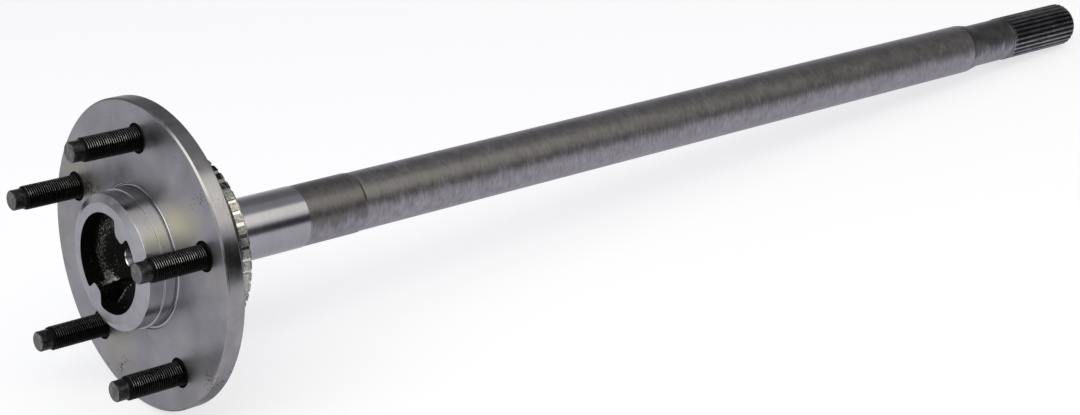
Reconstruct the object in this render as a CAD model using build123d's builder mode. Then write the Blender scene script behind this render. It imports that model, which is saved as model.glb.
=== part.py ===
from build123d import *
import math
import os

os.makedirs("parts", exist_ok=True)

# All sizes are in millimetres. Lengths along the axle are counted from the wheel face:
# the pilot and the stud tips stand out in front of it, the shaft runs away behind it.

# Wheel flange, with its five studs on a circle of five inches
stud_circle_r = 127.0 / 2
stud_count = 5
flange_margin = 18.5
flange_r = stud_circle_r + flange_margin
flange_t = 10.0
rim_front_chamfer = 1.0
rim_back_chamfer = 0.8

# Stepped pilot: the wheel centres on the front land, the brake drum on the back land
wheel_pilot_r = 35.75
pilot_step = 0.75
drum_pilot_r = wheel_pilot_r + pilot_step
pilot_len = 18.0
drum_pilot_len = 7.0
pilot_nose_radial = 4.0
pilot_nose_axial = 2.3
relief_w = 2.0
relief_depth = 0.8

# Forged pocket in the pilot: each of the two lugs flares more on one side
pocket_r = 26.7
pocket_depth = 8.0
pocket_draft = 4
pocket_floor_chamfer = 1.2
lug_tip_r = 19.3
lug_tip_half_w = 3.4
lug_steep_root_w = 5.2
lug_flare_root_w = 7.5
lug_tip_fillet = 2.2
lug_root_fillet = 2.2
lug_angle = 57.5
dish_r = 13.0
dish_depth = 5.0
dish_lip_chamfer = 1.2
centre_drill_r = 2.0
centre_cone_r = 4.8
centre_drill_depth = 9.0
centre_cone_angle = 60

# Hub behind the flange: it flares into the flange, and the tone ring seats against its shoulder
ring_seat_r = 38.5
ring_shoulder = 3.0
hub_r = ring_seat_r + ring_shoulder
hub_flare = 6.0
ring_front = 31.4
ring_w = 5.8
hub_lip = 1.0
hub_face_cone = 8.0
hub_end = ring_front + ring_w + hub_lip

# Shaft, from the hub to the spline
journal_r = 17.0
journal_len = 57.6
turned_r = 16.75
turned_len = 37.1
step_len = 1.5
body_r = 16.35
body_len = 524.6
taper_len = 12.0
neck_r = 14.35
neck_len = 32.5
journal_end = hub_end + journal_len
turned_end = journal_end + turned_len
body_start = turned_end + step_len
body_end = body_start + body_len
spline_start = body_end + taper_len + neck_len

# Involute spline of 24 diametral pitch, with a flat root and a flank angle of 30 degrees
spline_len = 70.8
shaft_end = spline_start + spline_len
tooth_count = 27
tooth_module = 25.4 / 24
flank_angle = math.radians(30)
pitch_r = tooth_module * tooth_count / 2
spline_major_r = tooth_module * (tooth_count + 1) / 2
spline_minor_r = tooth_module * (tooth_count - 1.35) / 2
plain_collar = 1.0
groove_runout = 5.0
cutter_over = 1.0
end_chamfer = 2.4
end_chamfer_radial = 1.6

# Tone ring
ring_wall = 9.0
ring_crest_r = ring_seat_r + ring_wall
ring_tooth_count = 47
ring_tooth_depth = 1.3
ring_gap_share = 0.33
ring_first_gap_angle = 36.5

# Wheel studs: half inch, with a plain dog point in front of the thread
stud_thread_r = 25.4 / 4
stud_reach = 38.2
stud_dog_r = 5.4
stud_dog_len = 6.2
stud_lead_len = 1.2
stud_knurl_r = 7.5
stud_knurl_lead = 1.0
stud_head_r = 10.6
stud_head_t = 4.6

# The shaft lies on a floor: the flange rim and the spline tips both touch it
rest_from = flange_t - rim_back_chamfer
rest_to = shaft_end - end_chamfer
lie_angle = math.atan2(flange_r - spline_major_r, rest_to - rest_from)
lie_cos = math.cos(lie_angle)
lie_sin = math.sin(lie_angle)

# Long section of the axle: across is the distance behind the wheel face, up is the radius
long_plane = Plane(origin=(0, 0, 0), x_dir=(lie_cos, 0, -lie_sin), z_dir=(0, -1, 0))
axle_line = Axis((0, 0, 0), (lie_cos, 0, -lie_sin))
# Wheel face seen from in front, with the first stud straight up
face_plane = Plane(origin=(0, 0, 0), x_dir=(0, -1, 0), z_dir=(-lie_cos, 0, lie_sin))


def involute(angle):
    return math.tan(angle) - angle


def flank_point(radius, side):
    """Point on one flank of the tooth space that lies straight up, at this radius."""
    roll = math.acos(pitch_r * math.cos(flank_angle) / radius)
    half_angle = math.pi / (2 * tooth_count) + involute(roll) - involute(flank_angle)
    return (side * radius * math.sin(half_angle), radius * math.cos(half_angle))


def space_outline(floor_r):
    """Outline of one tooth space, from its floor out past the tooth tips."""
    top_r = spline_major_r + cutter_over
    mid_r = (floor_r + top_r) / 2
    left = ThreePointArc(flank_point(floor_r, -1), flank_point(mid_r, -1), flank_point(top_r, -1))
    right = ThreePointArc(flank_point(floor_r, 1), flank_point(mid_r, 1), flank_point(top_r, 1))
    Line(left @ 0, right @ 0)
    Line(left @ 1, right @ 1)


# Cutter for one tooth space: the hob lifts out over the run-out, short of the plain collar
runout_from = spline_start + plain_collar
runout_to = runout_from + groove_runout
with BuildPart() as tooth_space:
    with BuildSketch(Plane.XY.offset(-runout_from)):
        with BuildLine():
            space_outline(spline_major_r)
        make_face()
    with BuildSketch(Plane.XY.offset(-runout_to)):
        with BuildLine():
            space_outline(spline_minor_r)
        make_face()
    loft(ruled=True)
    with BuildSketch(Plane.XY.offset(-runout_to)):
        with BuildLine():
            space_outline(spline_minor_r)
        make_face()
    extrude(amount=-(shaft_end + cutter_over - runout_to))

# Axle shaft: one forging, turned all over behind the hub
with BuildPart(face_plane) as axle_shaft:
    with BuildSketch(long_plane):
        with BuildLine():
            Polyline(
                (-pilot_len, 0),
                (-pilot_len, wheel_pilot_r - pilot_nose_radial),
                (-pilot_len + pilot_nose_axial, wheel_pilot_r),
                (-drum_pilot_len - pilot_step, wheel_pilot_r),
                (-drum_pilot_len, drum_pilot_r),
                (relief_depth, drum_pilot_r),
                (relief_depth, drum_pilot_r + relief_w),
                (0, drum_pilot_r + relief_w),
                (0, flange_r - rim_front_chamfer),
                (rim_front_chamfer, flange_r),
                (flange_t - rim_back_chamfer, flange_r),
                (flange_t, flange_r - rim_back_chamfer),
                (flange_t, hub_r + hub_flare),
                (flange_t + hub_flare, hub_r),
                (ring_front, hub_r),
                (ring_front, ring_seat_r),
                (hub_end, ring_seat_r),
                (hub_end, journal_r + hub_face_cone),
                (hub_end + hub_face_cone, journal_r),
                (journal_end, journal_r),
                (journal_end + journal_r - turned_r, turned_r),
                (turned_end, turned_r),
                (body_start, body_r),
                (body_end, body_r),
                (body_end + taper_len, neck_r),
                (spline_start, neck_r),
                (spline_start, spline_major_r),
                (shaft_end - end_chamfer, spline_major_r),
                (shaft_end, spline_major_r - end_chamfer_radial),
                (shaft_end, 0),
                close=True,
            )
        make_face()
    revolve(axis=axle_line)
    # Stud holes
    with PolarLocations(stud_circle_r, stud_count, start_angle=90):
        Hole(radius=stud_knurl_r, depth=flange_t)
    # Forged pocket: round, with two driving lugs facing each other
    with BuildSketch(face_plane.offset(pilot_len)) as pocket:
        Circle(pocket_r)
        with PolarLocations(0, 2, start_angle=lug_angle):
            Polygon(
                (lug_tip_r, -lug_tip_half_w),
                (pocket_r, -lug_steep_root_w),
                (wheel_pilot_r, -lug_steep_root_w),
                (wheel_pilot_r, lug_flare_root_w),
                (pocket_r, lug_flare_root_w),
                (lug_tip_r, lug_tip_half_w),
                align=None,
                mode=Mode.SUBTRACT,
            )
        corners = pocket.vertices().sort_by_distance((0, 0, 0))
        fillet(corners[:4], lug_tip_fillet)
        corners = pocket.vertices().sort_by_distance((0, 0, 0))
        fillet(corners[-4:], lug_root_fillet)
    extrude(amount=-pocket_depth, taper=pocket_draft, mode=Mode.SUBTRACT)
    pocket_floor = axle_shaft.faces(Select.LAST).sort_by(axle_line)[-1]
    chamfer(pocket_floor.edges(), pocket_floor_chamfer)
    # Dished middle of the floor
    with Locations((0, 0, pilot_len - pocket_depth)):
        Cone(
            bottom_radius=centre_cone_r,
            top_radius=dish_r,
            height=dish_depth,
            align=(Align.CENTER, Align.CENTER, Align.MAX),
            mode=Mode.SUBTRACT,
        )
    dish_rims = axle_shaft.edges(Select.LAST).filter_by(GeomType.CIRCLE)
    chamfer(dish_rims.sort_by(SortBy.RADIUS)[-1], dish_lip_chamfer)
    # Turning centres, one at the bottom of the dish and one in the spline end
    with Locations(
        Location((0, 0, pilot_len - pocket_depth - dish_depth)),
        Location((0, 0, -shaft_end), (180, 0, 0)),
    ):
        CounterSinkHole(
            radius=centre_drill_r,
            counter_sink_radius=centre_cone_r,
            depth=centre_drill_depth,
            counter_sink_angle=centre_cone_angle,
        )
    # Spline, with one tooth straight down
    with PolarLocations(0, tooth_count):
        add(tooth_space.part, mode=Mode.SUBTRACT)
axle_shaft.part.label = "axle_shaft"
export_step(axle_shaft.part, "parts/axle_shaft.step")

# Tone ring, with straight gaps across its rim
ring_pitch = 2 * math.pi * ring_crest_r / ring_tooth_count
ring_gap_w = ring_gap_share * ring_pitch
with BuildPart() as tone_ring:
    with BuildSketch(face_plane.offset(-ring_front)):
        Circle(ring_crest_r)
        Circle(ring_seat_r, mode=Mode.SUBTRACT)
        with PolarLocations(ring_crest_r, ring_tooth_count, start_angle=ring_first_gap_angle):
            Rectangle(2 * ring_tooth_depth, ring_gap_w, mode=Mode.SUBTRACT)
    extrude(amount=-ring_w)
tone_ring.part.label = "tone_ring"
export_step(tone_ring.part, "parts/tone_ring.step")

# Wheel studs, pressed in from behind until the head meets the flange
for number in range(1, stud_count + 1):
    turn = math.radians(90 + (number - 1) * 360 / stud_count)
    stud_centre = face_plane.from_local_coords(
        (stud_circle_r * math.cos(turn), stud_circle_r * math.sin(turn), 0)
    )
    stud_plane = Plane(origin=stud_centre, x_dir=long_plane.x_dir, z_dir=long_plane.z_dir)
    with BuildPart() as wheel_stud:
        with BuildSketch(stud_plane):
            with BuildLine():
                Polyline(
                    (-stud_reach, 0),
                    (-stud_reach, stud_dog_r),
                    (-stud_reach + stud_dog_len, stud_dog_r),
                    (-stud_reach + stud_dog_len + stud_lead_len, stud_thread_r),
                    (0, stud_thread_r),
                    (stud_knurl_lead, stud_knurl_r),
                    (flange_t, stud_knurl_r),
                    (flange_t, stud_head_r),
                    (flange_t + stud_head_t, stud_head_r),
                    (flange_t + stud_head_t, 0),
                    close=True,
                )
            make_face()
        revolve(axis=Axis(stud_plane.origin, stud_plane.x_dir))
    wheel_stud.part.label = f"wheel_stud_{number}"
    export_step(wheel_stud.part, f"parts/wheel_stud_{number}.step")
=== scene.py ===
import math

import bpy
from mathutils import Matrix, Vector, noise


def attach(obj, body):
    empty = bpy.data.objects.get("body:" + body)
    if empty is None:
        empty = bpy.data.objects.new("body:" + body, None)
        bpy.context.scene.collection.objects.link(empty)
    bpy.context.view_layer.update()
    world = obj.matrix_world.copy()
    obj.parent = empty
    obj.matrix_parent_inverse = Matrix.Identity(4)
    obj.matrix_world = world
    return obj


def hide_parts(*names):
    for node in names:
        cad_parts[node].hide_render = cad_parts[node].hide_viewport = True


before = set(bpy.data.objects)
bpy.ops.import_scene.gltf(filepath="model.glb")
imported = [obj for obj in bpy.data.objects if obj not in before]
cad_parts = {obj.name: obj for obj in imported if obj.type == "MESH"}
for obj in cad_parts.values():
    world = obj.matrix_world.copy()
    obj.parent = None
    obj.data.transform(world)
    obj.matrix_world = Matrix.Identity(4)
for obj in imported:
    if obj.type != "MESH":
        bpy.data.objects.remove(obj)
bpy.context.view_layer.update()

# Axle forging
# The real piece is one steel forging, turned all over except in the pocket of the wheel pilot. The
# flange face, the pilot and the bearing journal are finished bright, the long body is left dull
# from rough turning, and the spline is hobbed last. It lies on its flange rim and spline end.
MM = 0.001
LIE = math.radians(5.0339736)
TURNED_STEPS = 240
SMOOTH_ANGLE = math.radians(32)

# Places along the shaft in mm behind the wheel face, and radii
PILOT_NOSE, PILOT_NOSE_R = -18.0, 31.75
NOSE_CHAMFER_END, WHEEL_PILOT_R = -15.7, 35.75
PILOT_STEP, DRUM_PILOT_R = -7.0, 36.5
GROOVE_DEPTH, GROOVE_R = 0.8, 38.5
FLANGE_R = 81.9
RIM_FRONT_CHAMFER, RIM_BACK_CHAMFER = 1.0, 0.8
FLANGE_BACK, FLANGE_BACK_R = 10.0, 81.1
HUB_R = 41.5
HUB_FLARE = 6.0
RING_SEAT, RING_SEAT_R = 31.4, 38.5
HUB_END = 38.2
HUB_BLEND = 8.0
JOURNAL_END, JOURNAL_R = 95.8, 17.0
SEAT_END, SEAT_R = 132.9, 16.75
BODY_START, BODY_END, BODY_R = 134.4, 659.0, 16.35
NECK_START, NECK_R = 671.0, 14.35
SPLINE_START, SPLINE_CHAMFER = 703.5, 771.9
MAJOR_R = 14.8167
MINOR_R = 13.5731
SHAFT_END, SHAFT_END_R = 774.3, 13.2167
CENTRE_CONE_END, CENTRE_CONE_R = 769.45, 4.8
CENTRE_DRILL_END, CENTRE_DRILL_R = 765.3, 2.0


def select_only(piece):
    for other in bpy.context.selected_objects:
        other.select_set(False)
    piece.select_set(True)
    bpy.context.view_layer.objects.active = piece


def finish_modifier(piece, kind, **settings):
    select_only(piece)
    modifier = piece.modifiers.new(kind.title(), kind)
    for key, value in settings.items():
        setattr(modifier, key, value)
    bpy.ops.object.modifier_apply(modifier=modifier.name)


def eased(corners):
    """Rows of x, radius and ease in mm: a corner with an ease is rounded over that length."""
    rows = []
    for number, (x, r, ease) in enumerate(corners):
        if not ease:
            rows.append((x, r))
            continue
        corner = Vector((x, r))
        before = Vector(corners[number - 1][:2]) - corner
        after = Vector(corners[(number + 1) % len(corners)][:2]) - corner
        start = corner + before.normalized() * ease
        end = corner + after.normalized() * ease
        steps = 3 if ease < 0.5 else 8
        for step in range(steps + 1):
            t = step / steps
            rows.append(tuple(start * (1 - t) ** 2 + corner * 2 * t * (1 - t) + end * t ** 2))
    return rows


def draw_line(name, rows, closed=False):
    """Line of edges through rows of x and radius in mm, drawn point after point by extrusion."""
    bpy.ops.mesh.primitive_plane_add(size=MM)
    piece = bpy.context.object
    piece.name = name
    bpy.ops.object.mode_set(mode="EDIT")
    bpy.ops.mesh.merge(type="CENTER")
    bpy.ops.transform.translate(value=(rows[0][0] * MM, 0, rows[0][1] * MM))
    loop = rows[1:] + rows[:1] if closed else rows[1:]
    last = rows[0]
    for row in loop:
        step = ((row[0] - last[0]) * MM, 0, (row[1] - last[1]) * MM)
        bpy.ops.mesh.extrude_region_move(TRANSFORM_OT_translate={"value": step})
        last = row
    bpy.ops.mesh.select_all(action="SELECT")
    bpy.ops.mesh.remove_doubles(threshold=0.002 * MM)
    bpy.ops.object.mode_set(mode="OBJECT")
    return piece


def tidy_mesh(piece):
    select_only(piece)
    bpy.ops.object.mode_set(mode="EDIT")
    bpy.ops.mesh.select_all(action="SELECT")
    bpy.ops.mesh.remove_doubles(threshold=0.001 * MM)
    bpy.ops.mesh.normals_make_consistent(inside=False)
    bpy.ops.object.mode_set(mode="OBJECT")


def turned(name, rows, closed=False, steps=TURNED_STEPS):
    """Solid turned about the shaft's line, which is the X axis until the piece is laid down."""
    piece = draw_line(name, rows, closed)
    finish_modifier(
        piece, "SCREW", axis="X", steps=steps, render_steps=steps, use_merge_vertices=True,
        merge_threshold=0.0005 * MM,
    )
    tidy_mesh(piece)
    return piece


def combine(piece, cutter, operation):
    finish_modifier(piece, "BOOLEAN", object=cutter, operation=operation, solver="EXACT")
    bpy.data.objects.remove(cutter)


def copies_about_shaft(piece, count, first=0.0):
    """The piece and its copies in one object, spaced evenly about the shaft's line."""
    ring = [piece]
    for number in range(1, count):
        twin = piece.copy()
        twin.data = piece.data.copy()
        bpy.context.collection.objects.link(twin)
        ring.append(twin)
    for number, twin in enumerate(ring):
        twin.rotation_euler = (first - number * 2 * math.pi / count, 0, 0)
    select_only(piece)
    for twin in ring:
        twin.select_set(True)
    bpy.ops.object.transform_apply(location=False, rotation=True, scale=False)
    bpy.ops.object.join()
    return piece


def lay_down(piece):
    """Gives a finished piece its place at rest and its shading."""
    select_only(piece)
    piece.rotation_euler = (0, LIE, 0)
    bpy.ops.object.transform_apply(location=False, rotation=True, scale=False)
    bpy.ops.object.shade_smooth_by_angle(angle=SMOOTH_ANGLE)
    finish_modifier(piece, "WEIGHTED_NORMAL", keep_sharp=True)


axle = turned(
    "axle_forging",
    eased([
        (PILOT_NOSE, 0.0, 0), (PILOT_NOSE, PILOT_NOSE_R, 0.2),
        (NOSE_CHAMFER_END, WHEEL_PILOT_R, 0.2),
        (PILOT_STEP - 0.25, WHEEL_PILOT_R, 0.1), (PILOT_STEP, DRUM_PILOT_R, 0.12),
        (GROOVE_DEPTH, DRUM_PILOT_R, 1.2), (GROOVE_DEPTH, GROOVE_R, 0.6), (0.0, GROOVE_R, 0),
        (0.0, FLANGE_R - RIM_FRONT_CHAMFER, 0.2), (RIM_FRONT_CHAMFER, FLANGE_R, 0.2),
        (FLANGE_BACK - RIM_BACK_CHAMFER, FLANGE_R, 0.2),
        (FLANGE_BACK, FLANGE_BACK_R, 0.2),
        (FLANGE_BACK, HUB_R + HUB_FLARE, 1.5), (FLANGE_BACK + HUB_FLARE, HUB_R, 1.5),
        (RING_SEAT, HUB_R, 0.3), (RING_SEAT, RING_SEAT_R, 0.2),
        (HUB_END, RING_SEAT_R, 0.6), (HUB_END, JOURNAL_R, HUB_BLEND),
        (JOURNAL_END, JOURNAL_R, 0), (JOURNAL_END + JOURNAL_R - SEAT_R, SEAT_R, 0),
        (SEAT_END, SEAT_R, 0.15), (BODY_START, BODY_R, 0.3), (BODY_END, BODY_R, 1.6),
        (NECK_START, NECK_R, 1.6), (SPLINE_START, NECK_R, 0.15), (SPLINE_START, MAJOR_R, 0.15),
        (SPLINE_CHAMFER, MAJOR_R, 0.2), (SHAFT_END, SHAFT_END_R, 0.2),
        (SHAFT_END, CENTRE_CONE_R, 0), (CENTRE_CONE_END, CENTRE_DRILL_R, 0),
        (CENTRE_DRILL_END, CENTRE_DRILL_R, 0), (CENTRE_DRILL_END, 0.0, 0),
    ]),
)

# Stud holes, broken at the mouth
STUDS = 5
STUD_CIRCLE = 63.5
HOLE_R = 7.5
HOLE_BREAK = 0.5
hole = turned(
    "stud_hole",
    [
        (-1.0, 0.0), (-1.0, HOLE_R + HOLE_BREAK + 1.0), (HOLE_BREAK, HOLE_R),
        (FLANGE_BACK + 1.0, HOLE_R), (FLANGE_BACK + 1.0, 0.0),
    ],
    steps=64,
)
hole.location = (0, 0, STUD_CIRCLE * MM)
select_only(hole)
bpy.ops.object.transform_apply(location=True, rotation=False, scale=False)
combine(axle, copies_about_shaft(hole, STUDS), "DIFFERENCE")

# Pocket: a drafted prism of the forging's outline, which has two lugs that flare more on one side.
# The wall between them is drawn in steps that stay clear of each lug by an angle in radians.
POCKET_R = 26.7
POCKET_DRAFT = math.radians(4)
LUG_ANGLE = math.radians(57.5)
LUG_TIP_R = 19.3
LUG_TIP_HALF = 3.4
LUG_STEEP_ROOT = 5.2
LUG_FLARE_ROOT = 7.5
LUG_ROUNDING = 2.2
WALL_STEPS = 40
WALL_CLEAR_OF_LUG = 0.12
outline = []
for side in (0, math.pi):
    lug_turn = LUG_ANGLE + side
    for reach, y in (
        (math.sqrt(POCKET_R ** 2 - LUG_STEEP_ROOT ** 2), -LUG_STEEP_ROOT),
        (LUG_TIP_R, -LUG_TIP_HALF),
        (LUG_TIP_R, LUG_TIP_HALF),
        (math.sqrt(POCKET_R ** 2 - LUG_FLARE_ROOT ** 2), LUG_FLARE_ROOT),
    ):
        across = reach * math.cos(lug_turn) - y * math.sin(lug_turn)
        up = reach * math.sin(lug_turn) + y * math.cos(lug_turn)
        outline.append((across, up, LUG_ROUNDING))
    start = lug_turn + math.asin(LUG_FLARE_ROOT / POCKET_R)
    stop = lug_turn + math.pi - math.asin(LUG_STEEP_ROOT / POCKET_R)
    for step in range(1, WALL_STEPS):
        turn = start + (stop - start) * step / WALL_STEPS
        if WALL_CLEAR_OF_LUG < turn - start < stop - start - WALL_CLEAR_OF_LUG:
            outline.append((POCKET_R * math.cos(turn), POCKET_R * math.sin(turn), 0))
PRISM_DEPTH = 20.0
prism = draw_line("pocket_prism", eased(outline), closed=True)
select_only(prism)
bpy.ops.object.mode_set(mode="EDIT")
bpy.ops.mesh.select_all(action="SELECT")
bpy.ops.mesh.edge_face_add()
bpy.ops.transform.rotate(value=math.pi / 2, orient_axis="Z", center_override=(0, 0, 0))
bpy.ops.transform.translate(value=(PILOT_NOSE * MM, 0, 0))
bpy.ops.mesh.select_all(action="SELECT")
bpy.ops.mesh.extrude_region_move(TRANSFORM_OT_translate={"value": (PRISM_DEPTH * MM, 0, 0)})
draft = 1 - PRISM_DEPTH * math.tan(POCKET_DRAFT) / POCKET_R
prism_end = (PILOT_NOSE + PRISM_DEPTH) * MM
bpy.ops.transform.resize(value=(1, draft, draft), center_override=(prism_end, 0, 0))
bpy.ops.mesh.select_all(action="SELECT")
bpy.ops.mesh.normals_make_consistent(inside=False)
bpy.ops.object.mode_set(mode="OBJECT")
for vertex in prism.data.vertices:
    if vertex.co.x < (PILOT_NOSE + 0.1) * MM:
        vertex.co.x = (PILOT_NOSE - 0.5) * MM

# Pocket floor: turned with its dish, the dish's rounded lip and the turning centre
POCKET_FLOOR = -10.0
POCKET_CENTRE, POCKET_CENTRE_R = -5.0, 4.9
floor_rows = [(-25.0, 0.0), (-25.0, 30.0)]
for step in range(21):
    floor_rows.append((POCKET_FLOOR, 30.0 - 0.75 * step))
floor_rows += [(-9.6, 14.1), (-8.9, 13.2), (-8.2, 12.2), (-7.6, 11.0), (-7.0, 9.8), (-6.4, 8.6)]
floor_rows += [(-5.8, 7.2), (-5.2, 5.8), (POCKET_CENTRE, POCKET_CENTRE_R), (-4.6, 4.6)]
floor_rows += [(-0.5, 2.2), (0.0, 2.0), (4.0, 2.0), (4.0, 0.0)]
relief = turned("pocket_floor", floor_rows)

# Rough relief that the forging die left: grain, a slow swell, and a recess between a straight edge
# and a low ridge, each drawn as a line through two places across and up the face
RECESS_EDGE = (Vector((-14.8, -17.7)), Vector((-0.4, -10.6)))
RECESS_RIDGE = (Vector((-5.0, -25.6)), Vector((5.1, -13.0)))
RECESS_DEPTH = 3.4
RECESS_INNER_R = 10.5
RIDGE_HEIGHT = 0.7
RIDGE_INNER_R = 13
WALL_WIDTH = 0.9
GRAIN_DEPTH, GRAINS_PER_MM = 0.32, 0.55
SWELL_DEPTH, SWELLS_PER_MM = 0.7, 0.13
SMOOTH_CENTRE_R = 5.5


def beyond(line, spot):
    along = (line[1] - line[0]).normalized()
    return along.y * (spot.x - line[0].x) - along.x * (spot.y - line[0].y)


for vertex in relief.data.vertices:
    across, up = -vertex.co.y / MM, vertex.co.z / MM
    spot = Vector((across, up))
    radius = spot.length
    if vertex.co.x < (POCKET_FLOOR - 1) * MM or radius < SMOOTH_CENTRE_R:
        continue
    grain = noise.fractal(Vector((across, up, 3.0)) * GRAINS_PER_MM, 0.8, 2.1, 4) * GRAIN_DEPTH
    swell = noise.noise(Vector((across, up, 9.0)) * SWELLS_PER_MM) * SWELL_DEPTH
    depth = grain + swell
    inside = min(
        beyond(RECESS_EDGE, spot), -beyond(RECESS_RIDGE, spot), radius - RECESS_INNER_R
    )
    if up < 0 and inside > 0:
        depth += RECESS_DEPTH * min(1.0, inside / WALL_WIDTH)
    ridge = abs(beyond(RECESS_RIDGE, spot))
    if ridge < WALL_WIDTH and radius > RIDGE_INNER_R and up < 0:
        depth -= RIDGE_HEIGHT * (1 - ridge / WALL_WIDTH)
    fade = min(1.0, (radius - SMOOTH_CENTRE_R) / 4)
    vertex.co.x += depth * fade * MM
combine(prism, relief, "INTERSECT")
combine(axle, prism, "DIFFERENCE")

# Spline: twenty-seven spaces of one cutter, which lifts out over the run-out in a short curve
SPLINE_TEETH = 27
SPACE_FLOOR_HALF = math.radians(1.82)
SPACE_TOP_HALF = math.radians(5.7)
CUTTER_START = 776.0
RUN_OUT = ((709.7, 0.0), (708.4, 0.06), (707.2, 0.2), (706.0, 0.46), (705.1, 0.8), (704.6, 1.24))


def set_corners(plane, corners):
    """Moves the corners of a new plane, in order round it."""
    for number, corner in zip((0, 1, 3, 2), corners):
        plane.data.vertices[number].co = corner


bpy.ops.mesh.primitive_plane_add(size=2.0)
space = bpy.context.object
space.name = "tooth_space"
space_top = MAJOR_R + 0.6
floor_half = MINOR_R * math.sin(SPACE_FLOOR_HALF)
top_half = space_top * math.sin(SPACE_TOP_HALF)
set_corners(space, [
    (CUTTER_START * MM, floor_half * MM, MINOR_R * MM),
    (CUTTER_START * MM, top_half * MM, space_top * MM),
    (CUTTER_START * MM, -top_half * MM, space_top * MM),
    (CUTTER_START * MM, -floor_half * MM, MINOR_R * MM),
])
select_only(space)
bpy.ops.object.mode_set(mode="EDIT")
bpy.ops.mesh.select_all(action="SELECT")
at, lift = CUTTER_START, 0.0
for station, rise in RUN_OUT:
    bpy.ops.mesh.extrude_region_move(
        TRANSFORM_OT_translate={"value": ((station - at) * MM, 0, (rise - lift) * MM)}
    )
    at, lift = station, rise
bpy.ops.mesh.select_all(action="SELECT")
bpy.ops.mesh.normals_make_consistent(inside=False)
bpy.ops.object.mode_set(mode="OBJECT")
combine(axle, copies_about_shaft(space, SPLINE_TEETH, math.pi / SPLINE_TEETH), "DIFFERENCE")
tidy_mesh(axle)


def linear(code):
    """Linear colour from the hex code of an sRGB colour."""
    parts = [int(code[place:place + 2], 16) / 255 for place in (1, 3, 5)]
    parts = [p / 12.92 if p <= 0.04045 else ((p + 0.055) / 1.055) ** 2.4 for p in parts]
    return (*parts, 1.0)


def add_node(tree, kind, inputs=None, stops=None, **settings):
    """Adds a node, sets its options, and fills its sockets with values or links. The stops of a
    colour ramp are rows of position and hex code or grey value."""
    node = tree.nodes.new("ShaderNode" + kind)
    for key, value in settings.items():
        setattr(node, key, value)
    for key, value in (inputs or {}).items():
        if isinstance(value, bpy.types.NodeSocket):
            tree.links.new(value, node.inputs[key])
        else:
            node.inputs[key].default_value = value
    if stops:
        elements = node.color_ramp.elements
        while len(elements) < len(stops):
            elements.new(0.5)
        for element, (position, shade) in zip(elements, stops):
            element.position = position
            element.color = linear(shade) if isinstance(shade, str) else (shade, shade, shade, 1.0)
    return node


def new_material(name):
    material = bpy.data.materials.new(name)
    material.use_nodes = True
    tree = material.node_tree
    return material, tree, tree.nodes["Principled BSDF"]


def shaft_place(tree):
    """Place on the piece with X along the shaft, turned back from how it lies."""
    place = add_node(tree, "TexCoord").outputs["Object"]
    turned_back = add_node(tree, "Mapping", {"Vector": place, "Rotation": (0, -LIE, 0)})
    return turned_back.outputs["Vector"]


def stain_and_shade_factor(tree, place, reach, strength, toward, radius):
    """Where one side of a turned piece is darkened: stain in streaks and blots that run round it,
    crowded onto the side that faces the given way as painted shade.
    """
    streak_width, streak_length = 1.2 * MM, 12 * MM
    sharpness, streak_push, blot_push = 5.0, 3.8, 3.0
    streaks_at = add_node(tree, "Mapping", {
        "Vector": place, "Scale": (1 / streak_width, 1 / streak_length, 1 / streak_length),
    })
    streaks = add_node(tree, "TexNoise", {
        "Vector": streaks_at.outputs["Vector"], "Scale": 1.0, "Detail": 3.0, "Roughness": 0.6,
    })
    blots = add_node(tree, "TexNoise", {"Vector": place, "Scale": 1 / (13 * MM), "Detail": 4.0})
    # The side that faces the given way is darkened here as painted shade.
    height = add_node(tree, "VectorMath", {0: place, 1: toward}, operation="DOT_PRODUCT")
    side = add_node(
        tree, "Math",
        {0: height.outputs["Value"], 1: sharpness / (radius * MM), 2: -sharpness * reach},
        operation="MULTIPLY_ADD",
    )
    streaky = add_node(
        tree, "Math", {0: streaks.outputs["Fac"], 1: streak_push, 2: -streak_push / 2},
        operation="MULTIPLY_ADD",
    )
    patchy = add_node(
        tree, "Math", {0: blots.outputs["Fac"], 1: blot_push, 2: -blot_push / 2},
        operation="MULTIPLY_ADD",
    )
    broken = add_node(
        tree, "Math", {0: side.outputs["Value"], 1: streaky.outputs["Value"]}, operation="ADD"
    )
    stained_and_shaded = add_node(
        tree, "Math", {0: broken.outputs["Value"], 1: patchy.outputs["Value"]},
        operation="ADD", use_clamp=True,
    )
    weighed = add_node(
        tree, "Math", {0: stained_and_shaded.outputs["Value"], 1: strength}, operation="MULTIPLY"
    )
    return weighed.outputs["Value"]


def film_and_sheen_factor(tree, place):
    """Where oil dried on the flange face in thin patches, and a warm painted reflection of the
    pilot beside it.
    """
    # The warm patch that peaks beside the pilot is a painted reflection of the pilot's land; the
    # noise patches are oil film.
    sheen_at, sheen_reach, sheen_peak = (0.0, -37 * MM, 29 * MM), 25 * MM, 0.3
    patches = add_node(tree, "TexNoise", {"Vector": place, "Scale": 1 / (42 * MM), "Detail": 3.0})
    away = add_node(tree, "VectorMath", {0: place, 1: sheen_at}, operation="DISTANCE")
    near = add_node(
        tree, "Math", {0: away.outputs["Value"], 1: -sheen_peak / sheen_reach, 2: sheen_peak},
        operation="MULTIPLY_ADD",
    )
    near = add_node(tree, "Math", {0: near.outputs["Value"], 1: 0.0}, operation="MAXIMUM")
    film_with_sheen = add_node(
        tree, "Math", {0: patches.outputs["Fac"], 1: near.outputs["Value"]}, operation="ADD"
    )
    thin = add_node(
        tree, "ValToRGB", {"Fac": film_with_sheen.outputs["Value"]}, stops=[(0.52, 0.0), (0.8, 0.6)]
    )
    return thin.outputs["Color"]


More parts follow.
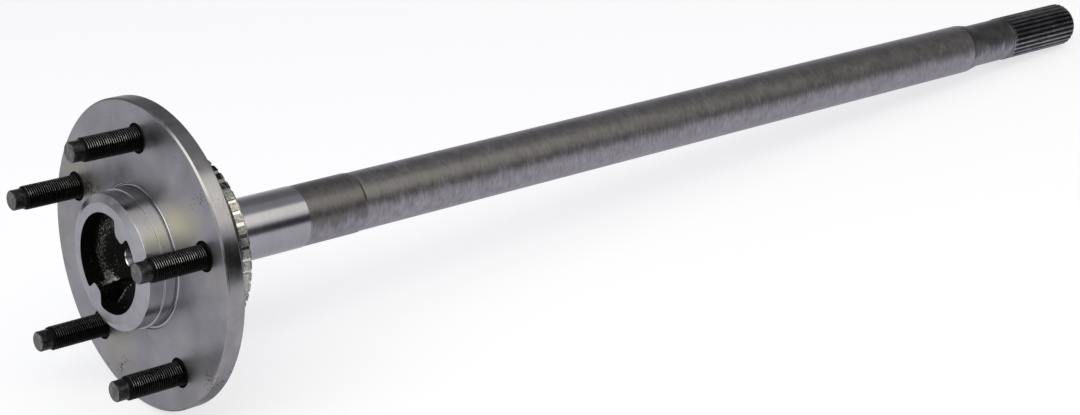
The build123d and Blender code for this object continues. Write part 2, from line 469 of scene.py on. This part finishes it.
def pit_factor(tree, place, pits):
    """Where rust has pitted the steel: dots that crowd together in a few places."""
    dots = add_node(
        tree, "TexVoronoi", {"Vector": place, "Scale": 1 / (1.6 * MM), "Randomness": 1.0}
    )
    crowds = add_node(tree, "TexNoise", {"Vector": place, "Scale": 1 / (30 * MM), "Detail": 2.0})
    over = add_node(tree, "Math", {0: crowds.outputs["Fac"], 1: 0.57}, operation="SUBTRACT")
    size = add_node(tree, "Math", {0: over.outputs["Value"], 1: pits}, operation="MULTIPLY")
    pitted = add_node(
        tree, "Math", {0: dots.outputs["Distance"], 1: size.outputs["Value"]},
        operation="LESS_THAN",
    )
    return pitted.outputs["Value"]


# The stains crowd along the side that faces up and to the camera, which darkens that side as
# painted shade
STAIN_AND_SHADE_SIDE = (0.0, -0.68, 0.73)
PIT_BROWN = "#5f5a58"


def steel(
    name, shades, rough, mark_mm, mark_depth, cloud_mm=28.0, mark_share=0.3, mark_length=50.0,
    glancing=0.6, pits=0.0, film_and_sheen=None, stain_and_shade=None, stain_and_shade_reach=0.5, stain_and_shade_strength=0.5,
    stain_and_shade_toward=STAIN_AND_SHADE_SIDE, stain_and_shade_radius=16.4,
):
    """Bare steel: clouds in the colour, tool marks round the shaft, stains and dark pits; the
    stains crowd onto one side, which darkens it as painted shade. A film is given for a flat face,
    where the marks run round its middle, and it adds a warm painted reflection beside the pilot.
    Sizes are in mm, the length of a mark in its own widths, and glancing dulls the light along the
    edges."""
    material, tree, shader = new_material(name)
    place = shaft_place(tree)
    clouds = add_node(tree, "TexNoise", {
        "Vector": place, "Scale": 1 / (cloud_mm * MM), "Detail": 5.0, "Roughness": 0.55,
        "Distortion": 0.4,
    })
    across_mark = 1 / (mark_mm * MM)
    along_mark = 1 / (mark_mm * mark_length * MM)
    if film_and_sheen:
        split = add_node(tree, "SeparateXYZ", {"Vector": place})
        flat = add_node(tree, "CombineXYZ", {"Y": split.outputs["Y"], "Z": split.outputs["Z"]})
        radius = add_node(tree, "VectorMath", {0: flat.outputs["Vector"]}, operation="LENGTH")
        marks_at = add_node(
            tree, "CombineXYZ", {"X": radius.outputs["Value"], "Y": split.outputs["X"]}
        )
        marks_at = add_node(tree, "Mapping", {
            "Vector": marks_at.outputs["Vector"], "Scale": (across_mark, across_mark, 1.0),
        })
    else:
        marks_at = add_node(tree, "Mapping", {
            "Vector": place, "Scale": (across_mark, along_mark, along_mark),
        })
    marks = add_node(tree, "TexNoise", {
        "Vector": marks_at.outputs["Vector"], "Scale": 1.0, "Detail": 3.0, "Roughness": 0.6,
    })
    marked = add_node(tree, "Math", {0: marks.outputs["Fac"], 1: mark_share}, operation="MULTIPLY")
    both = add_node(
        tree, "Math", {0: clouds.outputs["Fac"], 1: 1 - mark_share, 2: marked.outputs["Value"]},
        operation="MULTIPLY_ADD",
    ).outputs["Value"]
    low, middle, high = 0.36, 0.5, 0.64
    colour = add_node(
        tree, "ValToRGB", {"Fac": both},
        stops=[(low, shades[0]), (middle, shades[1]), (high, shades[2])],
    ).outputs["Color"]
    roughness = add_node(
        tree, "ValToRGB", {"Fac": both}, stops=[(low, rough[0]), (high, rough[1])]
    )
    layers = []
    if stain_and_shade:
        side = stain_and_shade_factor(tree, place, stain_and_shade_reach, stain_and_shade_strength, stain_and_shade_toward, stain_and_shade_radius)
        layers.append((side, stain_and_shade))
    if film_and_sheen:
        layers.append((film_and_sheen_factor(tree, place), film_and_sheen))
    if pits:
        layers.append((pit_factor(tree, place, pits), PIT_BROWN))
    for factor, over in layers:
        colour = add_node(
            tree, "Mix", {"Factor": factor, "A": colour, "B": linear(over)}, data_type="RGBA"
        ).outputs["Result"]
    tree.links.new(colour, shader.inputs["Base Color"])
    tree.links.new(roughness.outputs["Color"], shader.inputs["Roughness"])
    shader.inputs["Metallic"].default_value = 1.0
    shader.inputs["Specular Tint"].default_value = (glancing, glancing, glancing, 1.0)
    bump = add_node(tree, "Bump", {
        "Height": marks.outputs["Fac"], "Strength": 1.0, "Distance": mark_depth * MM,
    })
    tree.links.new(bump.outputs["Normal"], shader.inputs["Normal"])
    return material


# Real feed marks lie a few tenths of a millimetre apart at most, too fine to show at this distance,
# so each finish draws them 0.4 to 1.4 mm apart.

# Satin, fine-turned steel, so the face shows soft clouds, a warm oil film in places and a warm
# painted reflection beside the pilot, only a smear of what stands on it, and a few rust pits
face_steel = steel(
    "fine_turned_face_steel", ("#807e85", "#918f96", "#a09ea4"), (0.34, 0.48), 0.67, 0.004,
    cloud_mm=26.0, pits=3.0, film_and_sheen="#98947e",
)
# Rim and chamfers: turned with a finer feed, so the dark room shows in them as crisp bands
rim_steel = steel(
    "turned_rim_steel", ("#807e84", "#8a888d", "#949297"), (0.16, 0.26), 0.5, 0.003,
    cloud_mm=12.0, pits=2.0, glancing=0.42,
)
# The pilot's land is ground, brighter than the face that it mirrors
land_steel = steel(
    "ground_pilot_land_steel", ("#c9c8cc", "#d1d0d4", "#d8d7db"), (0.14, 0.26), 0.42, 0.003,
    cloud_mm=16.0, pits=1.6,
)
# The pilot's nose and chamfer are turned, a little finer than the face, and mirror softly
nose_steel = steel(
    "turned_pilot_nose_steel", ("#8f8e96", "#99989f", "#a2a1a8"), (0.3, 0.42), 0.42, 0.003,
    cloud_mm=7.0, glancing=0.8,
)
# Ground bearing journal, the smoothest place of the forging, so it mirrors the room in clear bands
journal_steel = steel(
    "ground_journal_steel", ("#8d8c94", "#95949c", "#9c9ba3"), (0.2, 0.24), 0.42, 0.0002,
    cloud_mm=40.0, glancing=0.8,
)
# Rough-turned seat: brown-grey mottling and short streaks round the bar, and a stain darkening its
# upper side, partly stain and partly painted shade
seat_steel = steel(
    "rough_turned_seat_steel", ("#74717c", "#86838d", "#98959f"), (0.34, 0.5), 1.3, 0.012,
    cloud_mm=6.0, stain_and_shade="#58534b", stain_and_shade_reach=0.5, stain_and_shade_strength=0.6, glancing=0.8,
    mark_share=0.6, mark_length=3.6,
)
# Dull body: short streaks that blur its reflections, and brown stains that darken its upper side,
# partly stain and partly painted shade
body_steel = steel(
    "dull_turned_body_steel", ("#77747d", "#89868f", "#9b98a1"), (0.36, 0.5), 1.4, 0.014,
    cloud_mm=8.0, stain_and_shade="#615e56", stain_and_shade_reach=0.68, stain_and_shade_strength=0.5, glancing=0.9,
    mark_share=0.6, mark_length=3.6,
)
# Neck: dark blots that crowd along its upper side, partly stain and partly painted shade
neck_steel = steel(
    "stained_and_shaded_neck_steel", ("#72707a", "#84828b", "#96949d"), (0.36, 0.5), 1.4, 0.014,
    cloud_mm=8.0, stain_and_shade="#3b3a38", stain_and_shade_reach=0.5, stain_and_shade_strength=0.7, glancing=0.8,
    mark_share=0.6, mark_length=3.6,
)
# Hobbed spline: grey crests, flanks darker and roots near black as painted shade between the teeth,
# and stains darkening the upper side, partly stain and partly painted shade
spline_steel = steel(
    "hobbed_spline_steel", ("#75747a", "#8b8a91", "#9b99a1"), (0.3, 0.44), 1.1, 0.01,
    cloud_mm=8.0, stain_and_shade="#3b3a3a", stain_and_shade_reach=0.5, stain_and_shade_strength=0.65,
)
flank_steel = steel(
    "hobbed_flank_steel", ("#57565b", "#6a696e", "#7c7a81"), (0.3, 0.44), 1.1, 0.01, cloud_mm=8.0,
)
root_shade_steel = steel(
    "painted_shade_spline_root_steel", ("#131315", "#1b1b1e", "#242428"), (0.35, 0.5), 1.1, 0.01,
    cloud_mm=10.0,
)

# Black forging scale, matt and lumpy, with bare grey grains where a painted attribute of the pocket
# is high. This is partly scale knocked off and partly painted light: light falling on the pocket
# floor, a painted highlight on a ridge and a painted glint on one lug tip. The same black stands as
# painted shade inside the stud holes. Its grain is drawn coarser than the real one, so that it
# shows.
scale_and_shade_black, tree, shader = new_material("black_forging_scale_and_shade")
place = shaft_place(tree)
grain = add_node(tree, "TexNoise", {
    "Vector": place, "Scale": 1 / (1.1 * MM), "Detail": 4.0, "Roughness": 0.7,
}).outputs["Fac"]
lumps = add_node(tree, "TexVoronoi", {"Vector": place, "Scale": 1 / (1.7 * MM)})
height = add_node(
    tree, "Math", {0: lumps.outputs["Distance"], 1: 0.5, 2: grain}, operation="MULTIPLY_ADD"
)
scuffs_and_light = add_node(tree, "Attribute", attribute_name="scuff_and_light")
knocked_and_lit = add_node(
    tree, "Math", {0: scuffs_and_light.outputs["Fac"], 1: 0.36, 2: grain}, operation="MULTIPLY_ADD"
)
bared_and_lit = add_node(
    tree, "ValToRGB", {"Fac": knocked_and_lit.outputs["Value"]}, stops=[(0.65, 0.0), (0.82, 1.0)]
).outputs["Color"]
black = add_node(tree, "ValToRGB", {"Fac": grain}, stops=[(0.4, "#010101"), (0.6, "#060606")])
colour = add_node(
    tree, "Mix", {"Factor": bared_and_lit, "A": black.outputs["Color"], "B": linear("#a8a7a6")},
    data_type="RGBA",
)
roughness = add_node(tree, "ValToRGB", {"Fac": bared_and_lit}, stops=[(0.0, 0.62), (1.0, 0.36)])
bump = add_node(
    tree, "Bump", {"Height": height.outputs["Value"], "Strength": 1.0, "Distance": 0.2 * MM}
)
tree.links.new(colour.outputs["Result"], shader.inputs["Base Color"])
tree.links.new(roughness.outputs["Color"], shader.inputs["Roughness"])
tree.links.new(bared_and_lit, shader.inputs["Metallic"])
tree.links.new(bump.outputs["Normal"], shader.inputs["Normal"])
shader.inputs["Specular IOR Level"].default_value = 0.07

axle_finishes = (
    face_steel, rim_steel, scale_and_shade_black, land_steel, nose_steel, journal_steel, seat_steel,
    body_steel, neck_steel, spline_steel, flank_steel, root_shade_steel,
)
for material in axle_finishes:
    axle.data.materials.append(material)
NECK_STAIN_AND_SHADE_START = 640.0


def from_stud_line(y, z):
    """Distance in mm of a point from the nearest stud's centre line."""
    turn = round(math.atan2(y, z) * STUDS / (2 * math.pi)) * 2 * math.pi / STUDS
    stud_y = STUD_CIRCLE * MM * math.sin(turn)
    stud_z = STUD_CIRCLE * MM * math.cos(turn)
    return math.hypot(y - stud_y, z - stud_z) / MM


def in_turning_centre(x, radius):
    """The lathe's turning centre: a bright rim in the black pocket, and a cone inside it darkened
    as painted shade.
    """
    return POCKET_CENTRE - 0.6 < x < 0.5 and radius < POCKET_CENTRE_R + 0.4


def axle_finish(face):
    """The finish of the forging where a face lies, from its place along and out from the shaft."""
    x = face.center.x / MM
    radius = math.hypot(face.center.y, face.center.z) / MM
    if in_turning_centre(x, radius):
        # The rim is bright land steel; the cone inside gets the darker flank steel as painted shade
        # in the hole.
        return land_steel if radius > POCKET_CENTRE_R - 0.5 else flank_steel
    in_pocket = PILOT_NOSE + 0.05 < x < 5 and radius < POCKET_R + 0.2
    near_stud = from_stud_line(face.center.y, face.center.z) < HOLE_R + 0.6
    # Inside the stud holes the black scale is painted shade: the drilled bore has no scale.
    in_hole = near_stud and 0.01 < x < FLANGE_BACK - 0.05
    if in_pocket or in_hole:
        return scale_and_shade_black
    on_step = PILOT_STEP - 0.3 < x < PILOT_STEP + 0.05
    in_groove = -0.4 < x < GROOVE_DEPTH + 0.1
    if x < NOSE_CHAMFER_END + 0.1:
        return nose_steel
    if (on_step or in_groove) and radius < GROOVE_R - 0.05:
        return journal_steel
    if x < -0.05:
        return land_steel
    if x < FLANGE_BACK + 1.0 and radius > FLANGE_R - 0.9:
        return rim_steel
    if x < HUB_END + 0.2:
        return face_steel
    if x < JOURNAL_END + 0.1:
        return journal_steel
    if x < BODY_START + 0.1:
        return seat_steel
    if x < NECK_STAIN_AND_SHADE_START:
        return body_steel
    if x < SPLINE_START - 0.1:
        return neck_steel
    # Flanks darker and roots near black between the teeth: painted shade.
    if x < SPLINE_CHAMFER - 0.1 and radius < MINOR_R + 0.06:
        return root_shade_steel
    if x < SPLINE_CHAMFER - 0.1 and radius < MAJOR_R - 0.06:
        return flank_steel
    return spline_steel


for face in axle.data.polygons:
    face.material_index = axle_finishes.index(axle_finish(face))


# Where light falls on the pocket floor, a band and a patch are painted bright as bared scale, and
# one lug tip gets a painted glint: painted light.
LIT_SCUFF_BAND_R, LIT_SCUFF_BAND_HALF = 20.0, 6.0
LIT_SCUFF_PATCH_R, LIT_SCUFF_PATCH_HALF = 18.0, 7.0
RUBBED_LUG_GLINT, RUBBED_LUG_GLINT_R = (-12.6, -19.6), 4.5


def scuff_and_light_at(x, across, up):
    """How bare and bright the scale is painted at a point in the pocket: 0 where it is whole, 1 or
    more where it is bare. It is partly wear and partly painted light: a band brighter on its lit
    side, a painted highlight along the ridge and a painted glint on one lug tip."""
    spot = Vector((across, up))
    radius = spot.length
    if radius > POCKET_R + 0.2 or x > 0:
        return 0.0
    scuff_and_light = 0.04
    below_edge = beyond(RECESS_EDGE, spot)
    # The band and the patch are painted light on the lit part of the floor, brighter on its lit
    # side.
    if x < -8.2 and (up > 0 or below_edge < 0):
        band = max(0.0, 1 - abs(radius - LIT_SCUFF_BAND_R) / LIT_SCUFF_BAND_HALF)
        lit_side = min(1.0, 0.75 - 0.4 * across / radius + 0.2 * up / radius)
        scuff_and_light = max(scuff_and_light, 0.43 * min(1.0, 1.6 * band) * lit_side)
        if across < -4 and up < 0:
            patch = max(0.0, 1 - abs(radius - LIT_SCUFF_PATCH_R) / LIT_SCUFF_PATCH_HALF)
            scuff_and_light = max(scuff_and_light, 1.1 * min(1.0, 1.6 * patch) * (1 + below_edge / 10.0))
    # The ridge's bright line is a painted highlight.
    if abs(beyond(RECESS_RIDGE, spot)) < 0.7 and radius > 12 and up < 0:
        scuff_and_light = 0.75
    # The lower lug's tip gets a painted glint.
    on_lug_tip = math.hypot(across - RUBBED_LUG_GLINT[0], up - RUBBED_LUG_GLINT[1]) < RUBBED_LUG_GLINT_R
    if on_lug_tip and x < -11:
        scuff_and_light = 1.2
    return scuff_and_light if radius < POCKET_R - 1.3 or on_lug_tip else 0.05


scuff_and_light_layer = axle.data.attributes.new("scuff_and_light", "FLOAT", "POINT")
for vertex, value in zip(axle.data.vertices, scuff_and_light_layer.data):
    x, y, z = (part / MM for part in vertex.co)
    value.value = scuff_and_light_at(x, -y, z) if PILOT_NOSE + 0.1 < x < 5 else 0.0
lay_down(axle)
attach(axle, "root")
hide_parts("axle_shaft")

# Tone ring
# The real ring is a plain steel band with square slots milled across its rim, pressed over the hub
# behind the flange until it meets the shoulder. A wheel speed sensor counts its teeth.
RING_TEETH = 47
RING_CREST_R = 47.5
RING_TEETH_END = 37.2
RING_BACK = 38.2
SLOT_SHARE = 0.33
SLOT_DEPTH = 1.3
SLOT_LENGTH = 5.6
SLOT_MIDDLE = 34.7
FIRST_SLOT = math.radians(36.5)
ring = turned(
    "toothed_ring",
    [
        (RING_SEAT, RING_SEAT_R), (RING_SEAT, RING_CREST_R - 0.6), (RING_SEAT + 0.6, RING_CREST_R),
        (RING_TEETH_END, RING_CREST_R), (RING_TEETH_END + 0.1, RING_CREST_R - 1.5),
        (RING_BACK - 0.2, RING_CREST_R - 1.8), (RING_BACK, RING_CREST_R - 2.2),
        (RING_BACK, RING_SEAT_R),
    ],
    closed=True, steps=6 * RING_TEETH,
)
bpy.ops.mesh.primitive_cube_add(size=1.0)
slot_cutter = bpy.context.object
slot_width = SLOT_SHARE * 2 * math.pi * RING_CREST_R / RING_TEETH
slot_cutter.scale = (SLOT_LENGTH * MM, slot_width * MM, 2 * SLOT_DEPTH * MM)
slot_cutter.location = (SLOT_MIDDLE * MM, 0, RING_CREST_R * MM)
select_only(slot_cutter)
bpy.ops.object.transform_apply(location=True, rotation=False, scale=True)
combine(ring, copies_about_shaft(slot_cutter, RING_TEETH, math.pi / 2 - FIRST_SLOT), "DIFFERENCE")
finish_modifier(
    ring, "BEVEL", width=0.12 * MM, segments=1, limit_method="ANGLE",
    angle_limit=math.radians(40),
)
tidy_mesh(ring)
# Ring steel: matt and grainy on the crests, darkened to near black along the top, bright in the
# milled slots
crest_steel = steel(
    "matt_ring_crest_steel", ("#5f5e5e", "#949392", "#c6c5c2"), (0.3, 0.42), 1.1, 0.02,
    cloud_mm=1.3, stain_and_shade="#141415", stain_and_shade_reach=0.62, stain_and_shade_strength=0.94,
    stain_and_shade_toward=(0.0, 0.17, 0.98), stain_and_shade_radius=RING_CREST_R,
)
slot_steel = steel(
    "milled_ring_slot_steel", ("#b4b2b0", "#c2c0be", "#cfcdca"), (0.08, 0.16), 0.55, 0.003,
    cloud_mm=8.0,
)
ring.data.materials.append(crest_steel)
ring.data.materials.append(slot_steel)
for face in ring.data.polygons:
    radius = math.hypot(face.center.y, face.center.z) / MM
    below_crest = RING_CREST_R - 1.4 < radius < RING_CREST_R - 0.2
    between_ends = RING_SEAT + 0.55 < face.center.x / MM < RING_TEETH_END - 0.05
    face.material_index = 1 if below_crest and between_ends else 0
lay_down(ring)
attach(ring, "root")
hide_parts("tone_ring")

# Wheel studs
# Five half-inch steel studs, cold headed and rolled with twenty threads an inch, black with
# phosphate and oil. They are pressed in from behind until the head meets the flange.
PITCH = 1.27
CREST_R = 6.35
RUBBED_R = 6.12
ROOT_R = 5.57
THREAD_TURNS = 30
STUD_TIP = -38.2
DOG_R = 5.4
DOG_END = -32.0
LEAD_R = 6.2
HELIX_START = DOG_END - 2.5
HEAD_R = 10.6
HEAD_BACK = 14.6
thread_rows = [
    (0.0, CREST_R), (0.159, CREST_R), (0.292, RUBBED_R), (0.609, ROOT_R), (0.82, ROOT_R),
    (1.137, RUBBED_R), (PITCH, CREST_R),
]
thread = draw_line("stud_thread", [(x + HELIX_START, r) for x, r in thread_rows])
finish_modifier(
    thread, "SCREW", axis="X", steps=48, render_steps=48, iterations=THREAD_TURNS,
    screw_offset=PITCH * MM,
)
tidy_mesh(thread)
select_only(thread)
for cut, clear in ((DOG_END, "inner"), (0.4, "outer")):
    bpy.ops.object.mode_set(mode="EDIT")
    bpy.ops.mesh.select_all(action="SELECT")
    bpy.ops.mesh.bisect(
        plane_co=(cut * MM, 0, 0), plane_no=(1, 0, 0), use_fill=True,
        clear_inner=clear == "inner", clear_outer=clear == "outer",
    )
    bpy.ops.object.mode_set(mode="OBJECT")
tidy_mesh(thread)
# The blank that the thread was rolled on tapers to the plain dog point
blank_r = CREST_R + 0.1
blank = turned(
    "stud_blank",
    [(-32.5, 0.0), (-32.5, 5.1), (-30.7, blank_r), (2.0, blank_r), (2.0, 0.0)],
    steps=96,
)
combine(thread, blank, "INTERSECT")
dog = turned(
    "stud_dog",
    eased([
        (STUD_TIP, 0.0, 0), (STUD_TIP, DOG_R - 0.55, 0.1), (STUD_TIP + 0.55, DOG_R, 0.1),
        (DOG_END, DOG_R, 0.1), (DOG_END + 1.2, LEAD_R, 0.1),
        (DOG_END + 1.8, LEAD_R, 0), (DOG_END + 1.8, 0.0, 0),
    ]),
    steps=72,
)
shank = turned(
    "stud_shank",
    eased([
        (0.0, 0.0, 0), (0.0, CREST_R, 0), (1.0, HOLE_R, 0.1), (FLANGE_BACK, HOLE_R, 0),
        (FLANGE_BACK, HEAD_R, 0.15), (HEAD_BACK - 0.6, HEAD_R, 0.15),
        (HEAD_BACK, HEAD_R - 0.6, 0.2), (HEAD_BACK, 0.0, 0),
    ]),
    steps=72,
)
select_only(thread)
dog.select_set(True)
shank.select_set(True)
bpy.ops.object.join()
stud = thread


def stud_finish(name, shades, rough, metallic, dent):
    """Phosphate coat: mottled, matt, and pitted by a depth in mm. Its crystals are far too fine to
    show, so the mottling is drawn as the blotches that oil and handling leave."""
    material, tree, shader = new_material(name)
    mottle = add_node(tree, "TexNoise", {
        "Vector": shaft_place(tree), "Scale": 1 / (2.6 * MM), "Detail": 5.0, "Roughness": 0.7,
    }).outputs["Fac"]
    colour = add_node(
        tree, "ValToRGB", {"Fac": mottle},
        stops=[(0.34, shades[0]), (0.52, shades[1]), (0.68, shades[2])],
    )
    roughness = add_node(
        tree, "ValToRGB", {"Fac": mottle}, stops=[(0.3, rough[0]), (0.7, rough[1])]
    )
    bump = add_node(tree, "Bump", {"Height": mottle, "Strength": 1.0, "Distance": dent * MM})
    tree.links.new(colour.outputs["Color"], shader.inputs["Base Color"])
    tree.links.new(roughness.outputs["Color"], shader.inputs["Roughness"])
    tree.links.new(bump.outputs["Normal"], shader.inputs["Normal"])
    shader.inputs["Metallic"].default_value = metallic
    shader.inputs["Specular IOR Level"].default_value = 0.06
    return material


# Black phosphate: near black and matt, so the threads read as black under the lamps
phosphate = stud_finish(
    "black_phosphate", ("#010101", "#040404", "#0d0d0e"), (0.4, 0.6), 0.0, 0.03
)
# Rubbed phosphate: bared crests, bright on the upper side only, a painted highlight of the
# softbox's glint
rubbed_glint = stud_finish(
    "rubbed_phosphate_glint", ("#6e6e70", "#b0b0b2", "#dededf"), (0.22, 0.36), 1.0, 0.02
)
# Worn phosphate: dark grey on the plain nose, the lower crests and the head, and paler on the end
# of the nose
worn = stud_finish(
    "worn_phosphate", ("#1c1c1d", "#2f2f31", "#4a4a4c"), (0.34, 0.5), 0.9, 0.05
)
end_grey = stud_finish(
    "worn_end_phosphate", ("#3c3c3d", "#636365", "#858587"), (0.34, 0.5), 0.9, 0.06
)
stud_finishes = (phosphate, rubbed_glint, worn, end_grey)
for material in stud_finishes:
    stud.data.materials.append(material)


def stud_finish_at(x, radius, up):
    """Which finish a face of a stud has, by its place along, out from and above the stud's line."""
    if x < STUD_TIP + 0.2:
        return end_grey
    if x < DOG_END - 0.1 or x > FLANGE_BACK - 0.1:
        return worn
    if x < -1.2 and radius > CREST_R - 0.05:
        # Only the crests on the upper side get the bright finish, a painted highlight; the lower
        # crests get worn phosphate.
        return rubbed_glint if up > 0.4 * radius else worn
    return phosphate


# Each stud is pressed in at a turn of its own, in radians
STUD_TURN = 1.3
for number in range(STUDS):
    piece = stud if number == STUDS - 1 else stud.copy()
    if number < STUDS - 1:
        piece.data = stud.data.copy()
        bpy.context.collection.objects.link(piece)
    piece.name = f"threaded_stud_{number + 1}"
    select_only(piece)
    piece.rotation_euler = (number * STUD_TURN, 0, 0)
    bpy.ops.object.transform_apply(location=False, rotation=True, scale=False)
    for face in piece.data.polygons:
        x, y, z = (part / MM for part in face.center)
        face.material_index = stud_finishes.index(stud_finish_at(x, math.hypot(y, z), z))
    turn = math.radians(90 + number * 360 / STUDS)
    piece.location = (0, -STUD_CIRCLE * math.cos(turn) * MM, STUD_CIRCLE * math.sin(turn) * MM)
    bpy.ops.object.transform_apply(location=True, rotation=False, scale=False)
    lay_down(piece)
    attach(piece, "root")
    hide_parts(f"wheel_stud_{number + 1}")

# Camera
# It stands at the photograph's angle, about halfway round from the wheel face to the shaft's side,
# and looks down on them. It was fitted to the flange's rim, the studs and the shaft's outline.
camera_data = bpy.data.cameras.new("photo_camera")
camera_data.sensor_width = 36.0
camera_data.lens = 75.8858
camera_data.shift_x = -0.008474
camera_data.shift_y = -0.063581
camera = bpy.data.objects.new("photo_camera", camera_data)
bpy.context.collection.objects.link(camera)
right = Vector((0.74971, -0.66136, -0.02328))
upward = Vector((0.26723, 0.27037, 0.92493))
back = Vector((-0.60541, -0.69965, 0.37943))
spot = Vector((-0.529975, -0.934887, 0.490987))
camera.matrix_world = Matrix((
    (right.x, upward.x, back.x, spot.x),
    (right.y, upward.y, back.y, spot.y),
    (right.z, upward.z, back.z, spot.z),
    (0.0, 0.0, 0.0, 1.0),
))
bpy.context.scene.camera = camera

# Studio
# A white floor under a large overhead softbox and a smaller one to the left. Black cards in front
# and grey ones behind give bright steel its dark bands, and the camera doesn't see the cards.
FLOOR_Z = -0.0826
FLOOR_GLOW = 0.65
MATT_LIGHT = 0.35
# A linear colour, a little blue, which the warm lamps turn white
FLOOR_WHITE = (0.482, 0.485, 0.57, 1.0)


def background_rays(tree):
    """One for the rays that see the white background: from the camera, off metal, through glass."""
    path = add_node(tree, "LightPath").outputs
    seen = add_node(
        tree, "Math", {0: path["Is Camera Ray"], 1: path["Is Glossy Ray"]}, operation="MAXIMUM"
    )
    seen = add_node(
        tree, "Math", {0: seen.outputs["Value"], 1: path["Is Transmission Ray"]},
        operation="MAXIMUM",
    )
    return seen.outputs["Value"]


bpy.ops.mesh.primitive_plane_add(size=14.0, location=(0, 0, FLOOR_Z))
floor = bpy.context.object
floor.name = "studio_floor"
floor_white, tree, shader = new_material("white_floor")
shader.inputs["Base Color"].default_value = FLOOR_WHITE
shader.inputs["Roughness"].default_value = 0.9
own_light = add_node(tree, "Emission", {"Color": (1.0, 1.0, 1.0, 1.0), "Strength": FLOOR_GLOW})
lit = add_node(tree, "AddShader", {0: shader.outputs["BSDF"], 1: own_light.outputs["Emission"]})
floor_mix = add_node(tree, "MixShader", {
    0: background_rays(tree), 1: shader.outputs["BSDF"], 2: lit.outputs["Shader"],
})
tree.links.new(floor_mix.outputs["Shader"], tree.nodes["Material Output"].inputs["Surface"])
floor.data.materials.append(floor_white)


def softbox(name, spot, aim, size_x, size_y, radiance, colour):
    data = bpy.data.lights.new(name, "AREA")
    data.shape = "RECTANGLE"
    data.size = size_x
    data.size_y = size_y
    data.energy = radiance * math.pi * size_x * size_y
    data.color = linear(colour)[:3]
    lamp = bpy.data.objects.new(name, data)
    bpy.context.collection.objects.link(lamp)
    lamp.location = spot
    direction = Vector(aim) - Vector(spot)
    lamp.rotation_euler = direction.to_track_quat("-Z", "Y").to_euler()


softbox("overhead_softbox", (0.7, -1.52, 1.3), (0.7, -1.52, 0.0), 2.3, 2.0, 1.0, "#fffbdf")
softbox("left_softbox", (-0.822, -0.349, 1.143), (0.0, 0.0, 0.0), 1.6, 0.8, 2.2, "#fdffe3")


def card(name, corners, brightness):
    """A card held beside the piece, of a set brightness, seen only where the steel mirrors it."""
    bpy.ops.mesh.primitive_plane_add(size=1.0)
    panel = bpy.context.object
    panel.name = name
    set_corners(panel, corners)
    material, tree, shader = new_material(name + "_paint")
    shader.inputs["Base Color"].default_value = (0.0, 0.0, 0.0, 1.0)
    shader.inputs["Emission Color"].default_value = (1.0, 1.0, 1.0, 1.0)
    shader.inputs["Emission Strength"].default_value = brightness
    panel.data.materials.append(material)
    panel.visible_camera = False
    panel.visible_shadow = False
    panel.visible_diffuse = False


def upright(start, end, low, high):
    """Corners of a card that stands from one place on the floor to another, between two heights."""
    return [(*start, low), (*end, low), (*end, high), (*start, high)]


def level(left, right, near, far, height):
    """Corners of a card that lies flat at one height."""
    return [(left, near, height), (right, near, height), (right, far, height), (left, far, height)]


card("front_card", upright((-3.6, -1.5), (2.6, -1.5), FLOOR_Z, 0.54), 0.02)
card("floor_card", level(-3.6, 2.6, -1.5, -0.47, FLOOR_Z + 0.002), 0.02)
card("back_left_card", upright((-1.5, 0.9), (-0.6, 1.6), 0.24, 2.3), 0.3)
card("low_back_card", upright((-0.6, 1.6), (3.2, 0.6), 0.24, 0.7), 0.5)
card("back_card", upright((-0.6, 1.6), (3.2, 0.6), 0.7, 2.6), 0.26)
card("right_card", upright((3.2, 0.6), (3.2, -2.6), 0.1, 3.0), 0.14)
card("top_card", level(-0.3, 3.2, -0.85, 0.8, 2.4), 0.46)
card("top_back_card", level(-0.3, 3.2, 0.8, 1.6, 2.4), 0.17)

# The backdrop is full white to the camera and in metal, and lights matt surfaces more dimly
world = bpy.data.worlds.new("studio_world")
bpy.context.scene.world = world
world.use_nodes = True
tree = world.node_tree
strength = add_node(
    tree, "Math", {0: background_rays(tree), 1: 1.0 - MATT_LIGHT, 2: MATT_LIGHT},
    operation="MULTIPLY_ADD",
)
backdrop = tree.nodes["Background"]
backdrop.inputs["Color"].default_value = (1.0, 1.0, 1.0, 1.0)
tree.links.new(strength.outputs["Value"], backdrop.inputs["Strength"])

bpy.context.scene.view_settings.view_transform = "Standard"
